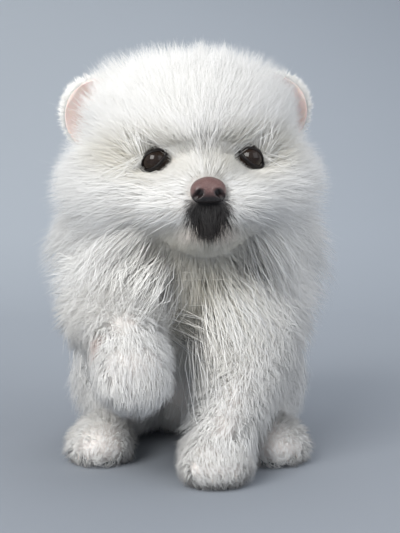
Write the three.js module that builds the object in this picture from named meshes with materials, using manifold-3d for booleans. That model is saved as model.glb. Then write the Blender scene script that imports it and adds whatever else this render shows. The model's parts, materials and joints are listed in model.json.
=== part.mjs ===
// A white Pomeranian puppy of about ten weeks, life size, sitting with its right forepaw held up.
// Millimetres, +Z up, the puppy faces -Y, and its left side is +X.
// The origin is on the floor, under the middle of the seat.
import * as THREE from "three";
import { mergeVertices } from "three/addons/utils/BufferGeometryUtils.js";
import Module from "manifold-3d";

const wasm = await Module();
wasm.setup();

// Driving sizes
const GAP = 0.35; // left between two pieces that meet
const CORE_SHARE = 0.45; // how far the core reaches from the skin to the tips of the coat
const SHORT_COAT = 6; // a coat shallower than this has no locks
const LOCK_THICK = 3.0;
const LOCK_SINK = 4.5; // depth of a lock's root in the core
const SEED = 11;

const SEAT = 22; // how far behind the working origin the middle of the seat is
const HEAD_AT = [4, -48, 148];
const HEAD_YAW = 5; // degrees, towards the puppy's left
const HEAD_ROLL = -1.7;

const COAT_ASIDE = -4; // the coat of the head is a little off its middle
const EYE = { side: 20.5, front: -29.5, height: -5.5, radius: 6.4, toe_out: 22, tilt: 33 };
const NOSE = { front: -53, height: -19.3, width: 13.6, tall: 11.5, deep: 9 };
const EAR = { root: [19, 5, 3], tip: [54, -3, 26], width: 36, thick: 1.8, cup: 6.5 };

const LEFT = 1;
const RIGHT = -1;
const SIDES = { left: LEFT, right: RIGHT };

const COLOURS = {
  coat: { color: 0xf1eee8, roughness: 0.9 },
  nose: { color: 0x6d4644, roughness: 0.45 },
  eye: { color: 0x120d0b, roughness: 0.08 },
  ear: { color: 0xe9c9bf, roughness: 0.8 },
  claw: { color: 0xdcc3b4, roughness: 0.4 },
};

const V = (x, y, z) => new THREE.Vector3(x, y, z);
const degrees = THREE.MathUtils.degToRad;

// Smooth fields: negative inside, positive outside, close to a distance near the surface

function blob(x, y, z, rx, ry, rz) {
  return (p) => {
    const a = (p.x - x) / rx;
    const b = (p.y - y) / ry;
    const c = (p.z - z) / rz;
    const reach = Math.hypot(a, b, c);
    const slope = Math.hypot(a / rx, b / ry, c / rz);
    return slope > 1e-9 ? (reach * (reach - 1)) / slope : -Math.min(rx, ry, rz);
  };
}

function rod(from, to, startRadius, endRadius) {
  const a = V(...from);
  const along = V(...to).sub(a);
  return (p) => {
    const q = p.clone().sub(a);
    const t = THREE.MathUtils.clamp(q.dot(along) / along.lengthSq(), 0, 1);
    const radius = startRadius + (endRadius - startRadius) * t;
    return q.addScaledVector(along, -t).length() - radius;
  };
}

function blend(softness, ...fields) {
  return (p) => {
    let d = fields[0](p);
    for (const field of fields.slice(1)) {
      const e = field(p);
      const h = Math.max(softness - Math.abs(d - e), 0) / softness;
      d = Math.min(d, e) - (h * h * softness) / 4;
    }
    return d;
  };
}

function carve(softness, field, ...hollows) {
  return (p) => {
    let d = field(p);
    for (const hollow of hollows) {
      const e = -hollow(p);
      const h = Math.max(softness - Math.abs(d - e), 0) / softness;
      d = Math.max(d, e) + (h * h * softness) / 4;
    }
    return d;
  };
}

const part = (skin, coat, share) => (p) => skin(p) * (1 - share) + coat(p) * share;
const swollen = (field, by) => (p) => field(p) - by;
const aside = (by, field) => (p) => field(V(p.x - by, p.y, p.z));
const both = (x, y, z, rx, ry, rz) => [blob(x, y, z, rx, ry, rz), blob(-x, y, z, rx, ry, rz)];

function slope(field, p) {
  const e = 0.4;
  return V(
    field(V(p.x + e, p.y, p.z)) - field(V(p.x - e, p.y, p.z)),
    field(V(p.x, p.y + e, p.z)) - field(V(p.x, p.y - e, p.z)),
    field(V(p.x, p.y, p.z + e)) - field(V(p.x, p.y, p.z - e)),
  ).normalize();
}

// How far a ray from a point inside the field goes before it leaves.
function leaves(field, from, way) {
  const step = 1.5;
  let near = 0;
  let far = step;
  while (field(from.clone().addScaledVector(way, far)) < 0 && far < 150) {
    near = far;
    far += step;
  }
  for (let i = 0; i < 12; i++) {
    const mid = (near + far) / 2;
    if (field(from.clone().addScaledVector(way, mid)) < 0) near = mid;
    else far = mid;
  }
  return (near + far) / 2;
}

// Meshes and solids

function warp(geometry, move) {
  const at = geometry.getAttribute("position");
  const p = V(0, 0, 0);
  for (let i = 0; i < at.count; i++) {
    p.fromBufferAttribute(at, i);
    const q = move(p);
    at.setXYZ(i, q.x, q.y, q.z);
  }
  return geometry;
}

function solid(geometry) {
  const bare = new THREE.BufferGeometry();
  bare.setAttribute("position", geometry.getAttribute("position"));
  if (geometry.index) bare.setIndex(geometry.index);
  const merged = mergeVertices(bare, 1e-4);
  const made = new wasm.Manifold(
    new wasm.Mesh({
      numProp: 3,
      vertProperties: new Float32Array(merged.getAttribute("position").array),
      triVerts: new Uint32Array(merged.index.array),
    }),
  );
  return made;
}

function geometryOf(manifold) {
  const mesh = manifold.getMesh();
  const places = new Float32Array(mesh.numVert * 3);
  for (let i = 0; i < mesh.numVert; i++) {
    places.set(mesh.vertProperties.subarray(i * mesh.numProp, i * mesh.numProp + 3), i * 3);
  }
  const geometry = new THREE.BufferGeometry();
  geometry.setAttribute("position", new THREE.BufferAttribute(places, 3));
  geometry.setIndex(new THREE.BufferAttribute(new Uint32Array(mesh.triVerts), 1));
  return geometry;
}

const joined = (solids) => solids.reduce((all, one) => all.add(one));
const largest = (manifold) =>
  manifold.decompose().sort((a, b) => b.volume() - a.volume())[0];

// A closed surface where the field is zero, as seen from a point inside it.
function shell(field, centre, detail) {
  const from = V(...centre);
  const ball = new THREE.IcosahedronGeometry(1, detail);
  return warp(ball, (p) => {
    const way = p.clone().normalize();
    return from.clone().addScaledVector(way, leaves(field, from, way));
  });
}

// A lock of hair: a flat blade, ridged on its outer side, that leaves the core and bends along the lie.
const LOCK_STEPS = 3;
const LOCK_WIDTHS = [0.6, 1.0, 0.72, 0];
const LOCK_DEPTHS = [1.0, 0.85, 0.55, 0];

function lock({ root, out, lie, length, width, floor }, grow = 0) {
  const side = lie.clone().cross(out).normalize();
  const path = (s) => {
    const p = root.clone().addScaledVector(out, length * (s - 0.42 * s * s));
    p.addScaledVector(lie, length * (0.3 * s + 0.42 * s * s));
    p.z = Math.max(p.z, floor);
    return p;
  };
  const cone = new THREE.ConeGeometry(1, 1, 3, LOCK_STEPS);
  return warp(cone, (v) => {
    const s = v.y + 0.5;
    const ring = Math.round(s * LOCK_STEPS);
    const spread = 1 - s > 1e-6 ? 1 / (1 - s) : 0;
    const along = path(Math.min(s + 0.05, 1)).sub(path(Math.max(s - 0.05, 0))).normalize();
    const up = side.clone().cross(along).normalize();
    const half = (width / 2) * LOCK_WIDTHS[ring] + 2 * grow;
    const deep = (LOCK_THICK / 2) * LOCK_DEPTHS[ring] + 2 * grow;
    const p = path(s);
    if (ring === 0) p.addScaledVector(along, -LOCK_SINK - 2 * grow);
    if (ring === LOCK_STEPS) p.addScaledVector(along, 4 * grow);
    return p.addScaledVector(side, v.x * spread * half).addScaledVector(up, v.z * spread * deep);
  });
}

function randomFrom(seed) {
  let state = seed >>> 0;
  return () => {
    state = (state * 1664525 + 1013904223) >>> 0;
    return state / 4294967296;
  };
}

// Directions spread evenly over a ball.
function evenly(count) {
  const turn = Math.PI * (3 - Math.sqrt(5));
  return Array.from({ length: count }, (_, i) => {
    const z = 1 - (2 * (i + 0.5)) / count;
    const r = Math.sqrt(1 - z * z);
    return V(r * Math.cos(i * turn), r * Math.sin(i * turn), z);
  });
}

// The locks of one node, whose roots are spread evenly over its core and whose tips end on the coat.
function locksOf({ core, centre, coat, lie, count, width, keep, floor = -Infinity }, seed) {
  const random = randomFrom(seed);
  const from = V(...centre);
  const made = [];
  for (const way of evenly(count)) {
    const jitter = V(random() - 0.5, random() - 0.5, random() - 0.5).multiplyScalar(0.12);
    way.add(jitter).normalize();
    const root = from.clone().addScaledVector(way, leaves(core, from, way));
    const out = slope(core, root);
    const flow = lie(root, out);
    flow.addScaledVector(out, -flow.dot(out)).normalize();
    const draw = { root, out, lie: flow, floor };
    const tip = (length) =>
      root
        .clone()
        .addScaledVector(out, length * 0.58)
        .addScaledVector(flow, length * 0.72);
    let length = 2;
    while (coat(tip(length)) < 0 && length < 60) length += 0.5;
    length *= 0.94 + 0.12 * random();
    const broad = width * (0.88 + 0.24 * random());
    if (length < SHORT_COAT || !keep(root, tip(length * 0.6), tip(length))) continue;
    made.push({ ...draw, length, width: Math.min(broad, length * 0.8) });
  }
  return made;
}

// The head, in its own frame: its middle is the origin and it faces -Y

const headSkin = blend(
  8,
  blob(0, 0, 0, 29, 34, 27),
  ...both(15, -12, -14, 15, 20, 15),
  ...both(18.5, -19, -4, 11, 12, 10),
  blob(0, -22, -14, 15, 16, 13),
);
const headCoat = aside(
  COAT_ASIDE,
  carve(
    6,
    blend(
      14,
      blob(0, 3, 3, 56, 46, 48),
      ...both(25, 4, 12, 30, 36, 32),
      ...both(34, -4, -21, 33, 34, 26),
      blob(2, -20, 15, 40, 25, 26),
      blob(2, -24, -22, 27, 18, 19),
      blob(0, 20, -8, 44, 34, 44),
    ),
    blob(32, -46, -3, 24, 20, 9.5),
    blob(-24, -46, -3, 24, 20, 9.5),
  ),
);
const headCore = part(headSkin, headCoat, CORE_SHARE);
const muzzleField = blend(
  5,
  blob(0, -35, -21, 19, 16, 14),
  ...both(8, -44, -26.5, 10.5, 9.5, 9.5),
  blob(0, -45, -18.5, 9, 8.5, 7.5),
);
const jawField = blend(4, blob(0, -33, -36.5, 16, 15, 8.5), blob(0, -41, -38, 9.5, 8.5, 6.5));
const noseField = blend(
  2,
  blob(0, NOSE.front, NOSE.height, NOSE.width / 2, NOSE.deep / 2, NOSE.tall / 2),
  ...both(4.1, NOSE.front - 0.6, NOSE.height - 0.8, 3.5, 4.2, 4.4),
);

function headLie(p) {
  const back = p.clone().sub(V(0, -62, -18)).normalize();
  const upward = Math.max(0, Math.min(1, (p.z + 4) / 26));
  back.z += 0.6 * upward;
  back.z -= 0.25 * (1 - upward);
  return back;
}

// The body, in the part's own frame

const neckSkin = blend(10, blob(0, -34, 112, 27, 28, 30), blob(0, -24, 96, 30, 31, 26));
const neckCoat = blend(
  12,
  blob(0, -28, 100, 60, 46, 30),
  ...both(38, -27, 94, 36, 36, 29),
  blob(0, -8, 116, 46, 42, 38),
);
const torsoSkin = blend(
  14,
  blob(0, -20, 82, 32, 34, 38),
  blob(0, 4, 50, 31, 38, 38),
  blob(0, 22, 27, 30, 30, 30),
);
const torsoCoat = blend(
  14,
  blob(0, -24, 82, 52, 46, 46),
  ...both(37, -22, 80, 34, 38, 34),
  blob(0, 10, 62, 54, 52, 52),
  blob(0, 24, 33, 48, 46, 37),
);
const FORELEG = {
  left: { elbow: [36, -52, 66], wrist: [15, -84, 19] },
  right: { elbow: [-38, -60, 72], wrist: [-26, -93, 68] },
};
const THIGH = [37, -2, 31];

const forelegSkin = (leg) => rod(leg.elbow, leg.wrist, 11, 7.5);
const forelegCoat = (leg) => rod(leg.elbow, leg.wrist, 25, 17.5);
const thighSkin = (side) => blob(side * (THIGH[0] - 4), THIGH[1] + 3, THIGH[2] - 3, 14, 30, 24);
const thighCoat = (side) => blob(side * THIGH[0], THIGH[1], THIGH[2], 25, 42, 34);

const headMatrix = new THREE.Matrix4().compose(
  V(...HEAD_AT),
  new THREE.Quaternion().setFromEuler(
    new THREE.Euler(0, degrees(HEAD_ROLL), degrees(HEAD_YAW), "ZYX"),
  ),
  V(1, 1, 1),
);
const intoHead = headMatrix.clone().invert();
const fromHead = (field) => (p) => field(p.clone().applyMatrix4(intoHead));

const downAndBack = (p) => V(p.x * 0.012, 0.35, -1);
const legs = Object.entries(FORELEG);

const bodyCoat = blend(
  8,
  neckCoat,
  torsoCoat,
  ...legs.map(([, leg]) => forelegCoat(leg)),
  ...Object.values(SIDES).map(thighCoat),
);

// The puppy's nodes, from the ones left whole to the ones cut to meet them

function eye(side) {
  const ball = new THREE.IcosahedronGeometry(1, 2);
  const place = V(side * EYE.side, EYE.front, EYE.height);
  return (grow) => warp(ball.clone(), (p) => p.clone().setLength(EYE.radius + grow).add(place));
}

// The rim of both lids: an almond ring that lies on the eyeball.
function lids(side) {
  const ring = { half_long: 6.3, half_tall: 3.5, tube: 1.1 };
  const turn = new THREE.Matrix4().makeRotationZ(degrees(side * EYE.toe_out));
  const tilt = new THREE.Matrix4().makeRotationY(degrees(side * EYE.tilt));
  const place = V(side * EYE.side, EYE.front, EYE.height);
  const torus = new THREE.TorusGeometry(1, ring.tube / 5, 5, 16);
  return warp(torus, (v) => {
    const around = Math.atan2(v.y, v.x);
    const off = (Math.hypot(v.x, v.y) - 1) * 5;
    const x = Math.cos(around) * (ring.half_long + off);
    const z = Math.sin(around) * (ring.half_tall + off);
    const deep = Math.sqrt(Math.max(0, (EYE.radius + 0.5) ** 2 - x * x - z * z));
    return V(x, -deep - v.z * 5, z).applyMatrix4(tilt).applyMatrix4(turn).add(place);
  });
}

// An ear: a leaf with a cupped front, as thick all over as the real one.
function ear(side) {
  const root = V(side * EAR.root[0] + COAT_ASIDE, EAR.root[1], EAR.root[2]);
  const along = V(side * EAR.tip[0] + COAT_ASIDE, EAR.tip[1], EAR.tip[2]).sub(root);
  const front = V(side * 0.35, -1, 0.05).normalize();
  const across = along.clone().cross(front).normalize();
  const facing = across.clone().cross(along).normalize();
  const half = (u) => {
    const wide = EAR.width / 2;
    const end = 0.52;
    return u < end ? wide * (0.62 + 0.38 * Math.sin((u / end) * (Math.PI / 2)))
      : wide * Math.sqrt(Math.max(0.02, 1 - ((u - end) / (1 - end)) ** 2.2));
  };
  return (grow) => {
    const sheet = new THREE.BoxGeometry(2, 1, 1, 6, 7, 1);
    const made = warp(sheet, (v) => {
      const u = v.y + 0.5;
      const width = half(u) + grow;
      const deep = EAR.cup * (1 - v.x * v.x) * Math.sin(Math.PI * Math.min(1, 0.25 + 0.75 * u));
      const p = root.clone().addScaledVector(along, u + (u > 0.99 ? grow / 40 : 0));
      p.addScaledVector(across, v.x * width);
      return p.addScaledVector(facing, -deep + v.z * (EAR.thick + 2 * grow));
    });
    return made;
  };
}

function claw(root, way, long, grow = 0) {
  const cone = new THREE.ConeGeometry(1, 1, 5, 2);
  const ahead = V(...way).normalize();
  const side = ahead.clone().cross(V(0, 0, 1)).normalize();
  const up = side.clone().cross(ahead);
  return warp(cone, (v) => {
    const s = v.y + 0.5;
    const p = V(...root).addScaledVector(ahead, (long + grow) * s - (s === 0 ? grow : 0));
    p.addScaledVector(up, -0.28 * long * s * s);
    const scale = 0.95 + grow;
    return p.addScaledVector(side, v.x * scale).addScaledVector(up, v.z * scale);
  });
}


// One node's flesh and coat: the solid itself, and a fatter twin that keeps its neighbours clear.
const LOCKS = true;

function dressed(form, seed) {
  const { core, centre, detail, coat, own = coat, count = 0 } = form;
  const plain = LOCKS && count > 0 ? core : own;
  const locks = LOCKS && count > 0
    ? locksOf(form, seed)
    : [];
  const body = joined([solid(shell(plain, centre, detail)), ...locks.map((l) => solid(lock(l)))]);
  const twin = joined([
    body,
    solid(shell(swollen(plain, GAP), centre, detail)),
    ...locks.map((l) => solid(lock(l, GAP))),
  ]);
  return { body, twin };
}

const clear = (body, ...twins) => largest(twins.reduce((left, twin) => left.subtract(twin), body));
const moved = (manifold, matrix) => manifold.transform(matrix.elements);

const group = new THREE.Group();
const puppy = new THREE.Group();
puppy.name = "puppy";
puppy.position.y = -SEAT;
group.add(puppy);
const head = new THREE.Group();
head.name = "head_group";
head.position.set(...HEAD_AT);
head.rotation.set(0, degrees(HEAD_ROLL), degrees(HEAD_YAW), "ZYX");
puppy.add(head);

const finishes = Object.fromEntries(
  Object.entries(COLOURS).map(([name, look]) => [
    name,
    new THREE.MeshStandardMaterial({ ...look, metalness: 0 }),
  ]),
);

function place(name, finish, manifold, parent = puppy) {
  const mesh = new THREE.Mesh(geometryOf(manifold), finishes[finish]);
  mesh.name = name;
  parent.add(mesh);
  return manifold;
}

// Floor: nothing reaches below it, and what stands on it has a flat there.
const FLOOR_BLOCK = new THREE.BoxGeometry(600, 600, 60).translate(0, 0, -30);
const floor = solid(FLOOR_BLOCK);

// Face
const eyes = Object.entries(SIDES).map(([name, side]) => {
  const ball = eye(side);
  place(`eye_${name}`, "eye", solid(ball(0)), head);
  return solid(ball(GAP));
});

const nostrils = Object.values(SIDES).map((side) =>
  solid(
    shell(
      rod(
        [side * 3.6, NOSE.front - 5.6, NOSE.height - 0.6],
        [side * 5.6, NOSE.front - 2.2, NOSE.height - 2.6],
        1.5,
        1.2,
      ),
      [side * 4.4, NOSE.front - 4.2, NOSE.height - 1.5],
      1,
    ),
  ),
);
const nose = clear(solid(shell(noseField, [0, NOSE.front, NOSE.height], 3)), ...nostrils);
place("nose", "nose", nose, head);
const noseTwin = solid(shell(swollen(noseField, GAP), [0, NOSE.front, NOSE.height], 3));

const philtrum = solid(shell(rod([0, -54.5, -25], [0, -53.6, -33], 0.9, 0.7), [0, -54, -29], 1));
const muzzleMiddle = [0, -38, -21];
const muzzleTwin = solid(shell(swollen(muzzleField, GAP), muzzleMiddle, 3));

const jawMiddle = [0, -36, -35];
const jawTwin = solid(shell(swollen(jawField, GAP), jawMiddle, 3));

const ears = Object.entries(SIDES).map(([name, side]) => {
  const leaf = ear(side);
  place(`ear_${name}`, "ear", solid(leaf(0)), head);
  return solid(leaf(GAP));
});

// Head: no lock grows in the ears, nor on the short coat of the face.
const earRoom = (p) =>
  Math.min(
    ...Object.values(SIDES).map(
      (side) =>
        rod(
          [side * EAR.root[0] + COAT_ASIDE, EAR.root[1], EAR.root[2]],
          [side * (EAR.tip[0] - 12) + COAT_ASIDE, EAR.tip[1], EAR.tip[2] - 4],
          6,
          9,
        )(p),
    ),
  );
const headForm = {
  core: headCore,
  centre: [0, 2, 0],
  detail: 5,
  coat: headCoat,
  lie: headLie,
  count: 74,
  width: 23,
  keep: (root, middle, tip) =>
    earRoom(root) > 0 &&
    earRoom(middle) > 0 &&
    muzzleField(middle) > 3 &&
    jawField(middle) > 2 &&
    !(root.y > -8 && root.z < -24),
};

// Paws: four toes in front, a flat under the sole, and four claws
const TOES = { spread: 5.2, reach: 11, outer: 2.6, radius: 5.2, drop: 1.5 };
const CLAW = { long: 4.6, drop: 1.8, ahead: 3.2, dip: 0.35 };
const PAWS = {
  fore_left: { middle: [12, -90, 9.5], ahead: [0.1, -1, 0], size: [12.5, 14, 11.5] },
  fore_right: { middle: [-23, -102, 53], ahead: [0.05, -0.42, -0.9], size: [14, 13, 14] },
  hind_left: { middle: [41, -48, 8.5], ahead: [0.18, -1, 0], size: [12.5, 21, 10.5] },
  hind_right: { middle: [-41, -48, 8.5], ahead: [-0.18, -1, 0], size: [12.5, 21, 10.5] },
};

function toesOf({ middle, ahead }) {
  const forward = V(...ahead).normalize();
  const across = V(0, 0, 1).cross(forward).normalize();
  return [-1.5, -0.5, 0.5, 1.5].map((i) =>
    V(...middle)
      .addScaledVector(across, i * TOES.spread)
      .addScaledVector(forward, TOES.reach - (Math.abs(i) > 1 ? TOES.outer : 0))
      .add(V(0, 0, -TOES.drop)),
  );
}

function pawField({ middle, size, ...rest }) {
  const toes = toesOf({ middle, ...rest });
  const toe = TOES.radius;
  return blend(
    3,
    blob(...middle, ...size),
    ...toes.map((t) => blob(t.x, t.y, t.z, toe, toe + 1.5, toe)),
  );
}

function paw(name, form) {
  const forward = V(...form.ahead).normalize();
  const way = forward.clone().add(V(0, 0, -CLAW.dip)).toArray();
  const roots = toesOf(form).map((t) =>
    t.addScaledVector(forward, CLAW.ahead).add(V(0, 0, -CLAW.drop)).toArray(),
  );
  roots.forEach((root, i) => {
    place(`claw_${name}_${i + 1}`, "claw", clear(solid(claw(root, way, CLAW.long)), floor));
  });
  const twins = roots.map((root) => solid(claw(root, way, CLAW.long, GAP)));
  const body = solid(shell(pawField(form), form.middle, 3));
  place(`paw_${name}`, "coat", clear(body, ...twins, ...clearOf, floor));
  clearOf.push(...twins, solid(shell(swollen(pawField(form), GAP), form.middle, 3)));
}

// The body's nodes in the order of the cuts: each is cut clear of the ones before it.
// A lock is left out where it would grow into a neighbour's core.
const clearOf = [];
const roomBeside = (...coats) => (root, middle, tip) =>
  coats.every((coat) => coat(root) > 0.5 && coat(middle) > 0 && coat(tip) > -1);

function bodyNode(name, form, seed) {
  const parts = dressed(form, seed);
  place(name, "coat", clear(parts.body, ...clearOf, floor));
  clearOf.push(parts.twin);
}

const headCoreHere = fromHead(headCore);
const pawCoats = Object.fromEntries(Object.entries(PAWS).map(([n, form]) => [n, pawField(form)]));
const forelegCores = legs.map(([, leg]) => part(forelegSkin(leg), forelegCoat(leg), CORE_SHARE));
const thighCores = Object.values(SIDES).map((side) =>
  part(thighSkin(side), thighCoat(side), CORE_SHARE),
);
const tailCoat = blend(6, rod([0, 56, 28], [4, 76, 52], 15, 18), rod([4, 76, 52], [6, 62, 88], 18, 12));
const tailSkin = blend(4, rod([0, 54, 28], [4, 74, 52], 6.5, 5), rod([4, 74, 52], [6, 62, 84], 5, 3));
const neckCore = part(neckSkin, neckCoat, CORE_SHARE);
const torsoCore = part(torsoSkin, torsoCoat, CORE_SHARE);
const tailCore = part(tailSkin, tailCoat, CORE_SHARE);

bodyNode("torso", {
  core: torsoCore,
  centre: [0, 2, 62],
  detail: 5,
  coat: bodyCoat,
  own: torsoCoat,
  lie: downAndBack,
  count: 74,
  width: 26,
  floor: 2,
  keep: roomBeside(headCoreHere, neckCore, tailCore, ...forelegCores, ...thighCores),
}, SEED);
bodyNode("neck", {
  core: neckCore,
  centre: [0, -26, 104],
  detail: 4,
  coat: bodyCoat,
  own: neckCoat,
  lie: downAndBack,
  count: 40,
  width: 25,
  keep: roomBeside(headCoreHere, ...forelegCores),
}, SEED + 1);
bodyNode("tail", {
  core: tailCore,
  centre: [4, 72, 54],
  detail: 3,
  coat: tailCoat,
  lie: () => V(0, 0.25, 1),
  count: 14,
  width: 18,
  keep: roomBeside(torsoCore),
}, SEED + 2);
for (const [name, side] of Object.entries(SIDES)) {
  bodyNode(`thigh_${name}`, {
    core: part(thighSkin(side), thighCoat(side), CORE_SHARE),
    centre: THIGH.map((v, i) => (i === 0 ? side * v : v)),
    detail: 3,
    coat: thighCoat(side),
    lie: () => V(0, -0.1, -1),
    count: 17,
    width: 22,
    floor: 2.2,
    keep: roomBeside(torsoCore, pawCoats[`hind_${name}`]),
  }, SEED + 3);
}
for (const [name, leg] of legs) {
  bodyNode(`foreleg_${name}`, {
    core: part(forelegSkin(leg), forelegCoat(leg), CORE_SHARE),
    centre: V(...leg.elbow).lerp(V(...leg.wrist), 0.5).toArray(),
    detail: 3,
    coat: forelegCoat(leg),
    lie: () => V(...leg.wrist).sub(V(...leg.elbow)).normalize().add(V(0, 0, -0.6)),
    count: 14,
    width: 20,
    floor: 1.5,
    keep: roomBeside(torsoCore, headCoreHere, pawCoats[`fore_${name}`]),
  }, SEED + 4);
}
for (const [name, form] of Object.entries(PAWS)) paw(name, form);

const headParts = dressed(headForm, SEED + 5);
const rims = Object.values(SIDES).map((side) => solid(lids(side)));
const bodyTwins = clearOf.map((twin) => moved(twin, intoHead));
const muzzle = clear(solid(shell(muzzleField, muzzleMiddle, 3)), noseTwin, philtrum, ...bodyTwins);
place("muzzle", "coat", muzzle, head);
const jaw = clear(solid(shell(jawField, jawMiddle, 3)), muzzleTwin, ...bodyTwins);
place("jaw", "coat", jaw, head);
place(
  "head",
  "coat",
  clear(
    joined([headParts.body, ...rims]),
    ...eyes,
    ...ears,
    muzzleTwin,
    jawTwin,
    noseTwin,
    ...bodyTwins,
  ),
  head,
);

export default group;
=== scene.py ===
import json
import math
import bmesh
import bpy
import numpy as np
from mathutils import Matrix, Vector

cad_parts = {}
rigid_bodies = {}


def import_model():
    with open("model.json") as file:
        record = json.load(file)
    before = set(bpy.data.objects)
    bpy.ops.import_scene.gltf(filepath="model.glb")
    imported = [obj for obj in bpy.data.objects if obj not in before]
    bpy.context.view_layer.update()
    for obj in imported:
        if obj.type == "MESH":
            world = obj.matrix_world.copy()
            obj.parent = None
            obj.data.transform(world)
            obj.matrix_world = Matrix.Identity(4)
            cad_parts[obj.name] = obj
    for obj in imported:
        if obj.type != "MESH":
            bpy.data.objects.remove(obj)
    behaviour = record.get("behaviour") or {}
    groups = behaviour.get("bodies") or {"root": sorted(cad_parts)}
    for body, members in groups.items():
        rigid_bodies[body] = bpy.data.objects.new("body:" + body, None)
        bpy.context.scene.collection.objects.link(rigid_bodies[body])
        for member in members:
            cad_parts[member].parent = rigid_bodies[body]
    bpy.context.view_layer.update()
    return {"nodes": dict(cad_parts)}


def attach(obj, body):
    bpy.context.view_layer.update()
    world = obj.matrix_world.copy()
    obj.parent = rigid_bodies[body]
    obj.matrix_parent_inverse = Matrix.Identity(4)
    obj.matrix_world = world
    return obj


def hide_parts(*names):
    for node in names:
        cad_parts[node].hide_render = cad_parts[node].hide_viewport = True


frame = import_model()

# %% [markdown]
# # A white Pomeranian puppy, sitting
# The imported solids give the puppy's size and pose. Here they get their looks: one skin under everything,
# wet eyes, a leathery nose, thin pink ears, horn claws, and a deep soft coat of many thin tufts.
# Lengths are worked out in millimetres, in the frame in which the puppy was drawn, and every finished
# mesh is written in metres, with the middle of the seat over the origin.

SEAT = 22.0
HEAD_AT = np.array([4.0, -48.0, 148.0])
HEAD_YAW, HEAD_ROLL = math.radians(5), math.radians(-1.7)
TURN = np.array((Matrix.Rotation(HEAD_YAW, 3, "Z") @ Matrix.Rotation(HEAD_ROLL, 3, "Y")))


def metres(points):
    """Points of the drawing frame, in metres, with the seat over the origin."""
    return (np.asarray(points, float) - (0.0, SEAT, 0.0)) / 1000


def out_of_head(points):
    return np.asarray(points, float) @ TURN.T + HEAD_AT


def into_head(points):
    return (np.asarray(points, float) - HEAD_AT) @ TURN


# %% [markdown]
# ## The camera
# A photograph keeps its own point of view, so the camera comes first. It is level with the nose, about
# half a metre in front of it, and looks slightly down. It could be placed by eye in the viewport, but as
# numbers it can be moved back to the same place.

# %% Camera
CAMERA_AT = (5.7, -585, 130)
LENS = 76.7
LOOKS_DOWN = math.radians(4)

camera = bpy.data.objects.new("camera", bpy.data.cameras.new("camera"))
bpy.context.scene.collection.objects.link(camera)
camera.data.lens = LENS
camera.location = metres(CAMERA_AT)
camera.rotation_euler = (math.pi / 2 - LOOKS_DOWN, 0, 0)
bpy.context.scene.camera = camera
print("camera at", tuple(round(c, 3) for c in camera.location))


# %% [markdown]
# ## Soft forms as fields
# A body has no edges to extrude. Each form here is a field, a number that is negative inside the form and
# zero on its surface. Fields can be blended, which melts neighbouring forms into each other as muscle and
# fat do, and carved, which leaves a hollow. Metaballs would blend too, but they can't be asked how far a
# point is from their surface, and the coat has to know that.

# %% Fields
def blob(x, y, z, rx, ry, rz):
    middle, radii = np.array([x, y, z], float), np.array([rx, ry, rz], float)

    def field(p):
        q = (p - middle) / radii
        reach = np.linalg.norm(q, axis=1)
        slope = np.linalg.norm(q / radii, axis=1)
        return reach * (reach - 1) / np.maximum(slope, 1e-9)

    return field


def both(x, y, z, rx, ry, rz):
    return [blob(x, y, z, rx, ry, rz), blob(-x, y, z, rx, ry, rz)]


def rod(start, end, start_radius, end_radius):
    a = np.array(start, float)
    along = np.array(end, float) - a

    def field(p):
        q = p - a
        t = np.clip(q @ along / (along @ along), 0, 1)
        far = np.linalg.norm(q - t[:, None] * along, axis=1)
        return far - start_radius - (end_radius - start_radius) * t

    return field


def blend(softness, *fields):
    def field(p):
        d = fields[0](p)
        for other in fields[1:]:
            e = other(p)
            h = np.maximum(softness - np.abs(d - e), 0) / softness
            d = np.minimum(d, e) - h * h * softness / 4
        return d

    return field


def carve(softness, whole, *hollows):
    def field(p):
        d = whole(p)
        for hollow in hollows:
            e = -hollow(p)
            h = np.maximum(softness - np.abs(d - e), 0) / softness
            d = np.maximum(d, e) + h * h * softness / 4
        return d

    return field


def swollen(whole, by):
    return lambda p: whole(p) - by


def aside(by, field):
    return lambda p: field(p - (by, 0, 0))


def unit(v):
    return v / np.maximum(np.linalg.norm(v, axis=-1, keepdims=True), 1e-9)


def outward(field, p, e=0.4):
    """The direction in which a field grows fastest, which is out of the form."""
    steps = [field(p + s) - field(p - s) for s in np.eye(3) * e]
    return unit(np.stack(steps, axis=1))


print("an egg is", blob(0, 0, 0, 2, 1, 1)(np.zeros((1, 3)) + (3, 0, 0)), "mm from a point 1 mm off its end")


# %% [markdown]
# ## The head under its coat
# A puppy's head is a round skull with full cheeks, a short muzzle and a small jaw. Its forms are in the
# head's own frame, which looks along -Y, and are turned with it. The mouth line and the sockets are carved.

# %% Forms of the head
COAT_ASIDE = -4
EYE = {"side": 20.5, "front": -29.5, "height": -5.5, "radius": 6.4, "toe_out": 22, "tilt": 33}
NOSE = {"front": -53, "height": -19.3, "width": 13.6, "tall": 11.5, "deep": 9}
EAR = {"root": (19, 5, 3), "tip": (54, -3, 26), "width": 36, "thick": 1.8, "cup": 6.5}
SIDES = {"left": 1, "right": -1}

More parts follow.
